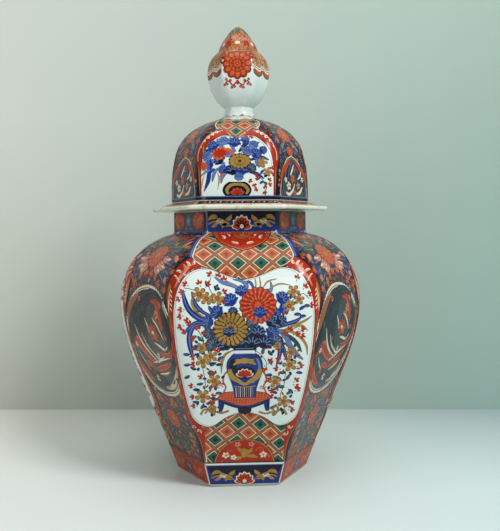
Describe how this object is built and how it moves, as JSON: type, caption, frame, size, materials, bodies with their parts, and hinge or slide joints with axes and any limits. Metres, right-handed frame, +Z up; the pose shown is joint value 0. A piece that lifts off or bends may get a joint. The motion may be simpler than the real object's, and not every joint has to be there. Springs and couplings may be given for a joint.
{
  "type": "covered hexagonal jar",
  "caption": "Hexagonal porcelain baluster jar with a high shoulder and short neck, under a domed, brimmed cover with a pointed bud knob.",
  "frame": {"origin": "middle of the foot's underside, on the jar's axis", "axes": "+Z up along the jar's axis, -Y out of the middle of the front facet, +X through the corner on the right of it"},
  "size_m": [0.305, 0.2744, 0.5603],
  "materials": {
    "white_glaze": "clear glossy glaze over white porcelain, with a faint blue tone",
    "bare_clay": "unglazed porcelain, matt and a little sandy",
    "cobalt_ground": "dark cobalt blue under a glossy glaze",
    "iron_red_enamel": "iron-red overglaze enamel, slightly softer than the glaze"
  },
  "bodies": {
    "jar": {"foot_ring": "bare_clay", "jar_floor": "white_glaze", "wall_slab_front": "white_glaze", "wall_slab_front_right": "cobalt_ground", "wall_slab_back_right": "white_glaze", "wall_slab_back": "cobalt_ground", "wall_slab_back_left": "white_glaze", "wall_slab_front_left": "cobalt_ground", "neck_collar": "cobalt_ground"},
    "cover": {"cover_locating_ring": "bare_clay", "cover_brim": "white_glaze", "cover_dome": "iron_red_enamel", "knob_stem": "white_glaze", "knob_bud": "white_glaze"}
  },
  "joints": [
    {"name": "cover_lift", "type": "slide", "parent": "jar", "child": "cover", "axis": [0, 0, 1], "range_m": [0, 0.25]}
  ]
}
